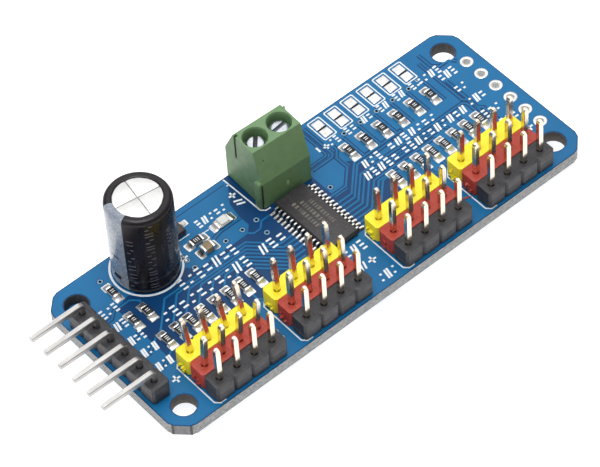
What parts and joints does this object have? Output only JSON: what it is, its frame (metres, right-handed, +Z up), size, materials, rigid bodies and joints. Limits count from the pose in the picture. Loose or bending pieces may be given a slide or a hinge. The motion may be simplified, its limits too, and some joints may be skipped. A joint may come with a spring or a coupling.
{
  "type": "servo driver board",
  "caption": "Flat rectangular circuit board that drives hobby servos: rows of pin headers, a screw terminal block, a capacitor, a driver chip and a bent control header.",
  "frame": {"origin": "centre of the board's underside face", "axes": "+X along the long side, from the bent control header towards the empty plated holes; +Y across the board, from the servo pins towards the terminal block; +Z up, out of the component side"},
  "size_m": [0.0673, 0.0251, 0.0156],
  "materials": {
    "solder_mask_blue": "satin solder mask over glass-fibre laminate",
    "strip_yellow": "moulded, satin",
    "strip_red": "moulded, satin",
    "strip_black": "moulded, satin",
    "pin_plating": "bright plated",
    "tinned_copper": "dull tin",
    "terminal_green": "moulded, satin",
    "screw_steel": "zinc plated",
    "clamp_brass": "nickel-free brass",
    "sleeve_black": "shrink film, glossy",
    "can_aluminium": "bright",
    "bung_rubber": "matt",
    "winding_paper": "impregnated paper and foil",
    "chip_epoxy": "moulded, matt",
    "lamp_clear": "clear resin on a white base",
    "resistor_black": "glazed",
    "ceramic_tan": "fired ceramic"
  },
  "bodies": {
    "board": {"circuit_board": "solder_mask_blue", "header_yellow_1": "strip_yellow", "header_yellow_2": "strip_yellow", "header_yellow_3": "strip_yellow", "header_yellow_4": "strip_yellow", "header_red_1": "strip_red", "header_red_2": "strip_red", "header_red_3": "strip_red", "header_red_4": "strip_red", "header_black_1": "strip_black", "header_black_2": "strip_black", "header_black_3": "strip_black", "header_black_4": "strip_black", "signal_pin_01": "pin_plating", "signal_pin_02": "pin_plating", "signal_pin_03": "pin_plating", "signal_pin_04": "pin_plating", "signal_pin_05": "pin_plating", "signal_pin_06": "pin_plating", "signal_pin_07": "pin_plating", "signal_pin_08": "pin_plating", "signal_pin_09": "pin_plating", "signal_pin_10": "pin_plating", "signal_pin_11": "pin_plating", "signal_pin_12": "pin_plating", "signal_pin_13": "pin_plating", "signal_pin_14": "pin_plating", "signal_pin_15": "pin_plating", "signal_pin_16": "pin_plating", "servo_power_pins": "pin_plating", "ground_pins": "pin_plating", "control_header_insulator": "strip_black", "control_pin_1": "pin_plating", "control_pin_2": "pin_plating", "control_pin_3": "pin_plating", "control_pin_4": "pin_plating", "control_pin_5": "pin_plating", "control_pin_6": "pin_plating", "terminal_housing": "terminal_green", "terminal_contact_1": "tinned_copper", "terminal_contact_2": "tinned_copper", "capacitor_sleeve": "sleeve_black", "capacitor_can": "can_aluminium", "capacitor_bung": "bung_rubber", "capacitor_winding": "winding_paper", "capacitor_lead_1": "tinned_copper", "capacitor_lead_2": "tinned_copper", "driver_chip": "chip_epoxy", "protection_transistor": "chip_epoxy", "power_lamp": "lamp_clear", "lamp_resistor": "resistor_black", "decoupling_capacitor": "ceramic_tan", "pullup_resistors": "resistor_black", "address_resistors": "resistor_black", "output_resistors_left": "resistor_black", "output_resistors_right": "resistor_black"},
    "screw_1": {"terminal_screw_1": "screw_steel"},
    "screw_2": {"terminal_screw_2": "screw_steel"},
    "clamp_1": {"terminal_clamp_1": "clamp_brass"},
    "clamp_2": {"terminal_clamp_2": "clamp_brass"}
  },
  "joints": [
    {"name": "screw_turn_1", "type": "hinge", "parent": "board", "child": "screw_1", "pos_m": [-0.00141, 0.00888, 0.0085], "axis": [0, 0, -1], "range_deg": [0, 1620]},
    {"name": "clamp_rise_1", "type": "slide", "parent": "board", "child": "clamp_1", "axis": [0, 0, 1], "range_m": [0, 0.0018]},
    {"name": "screw_turn_2", "type": "hinge", "parent": "board", "child": "screw_2", "pos_m": [0.00209, 0.00876, 0.0085], "axis": [0, 0, -1], "range_deg": [0, 1620]},
    {"name": "clamp_rise_2", "type": "slide", "parent": "board", "child": "clamp_2", "axis": [0, 0, 1], "range_m": [0, 0.0018]}
  ],
  "couplings": [
    {"joint": "screw_turn_1", "follows": "clamp_rise_1", "rad_per_m": 15708},
    {"joint": "screw_turn_2", "follows": "clamp_rise_2", "rad_per_m": 15708}
  ]
}
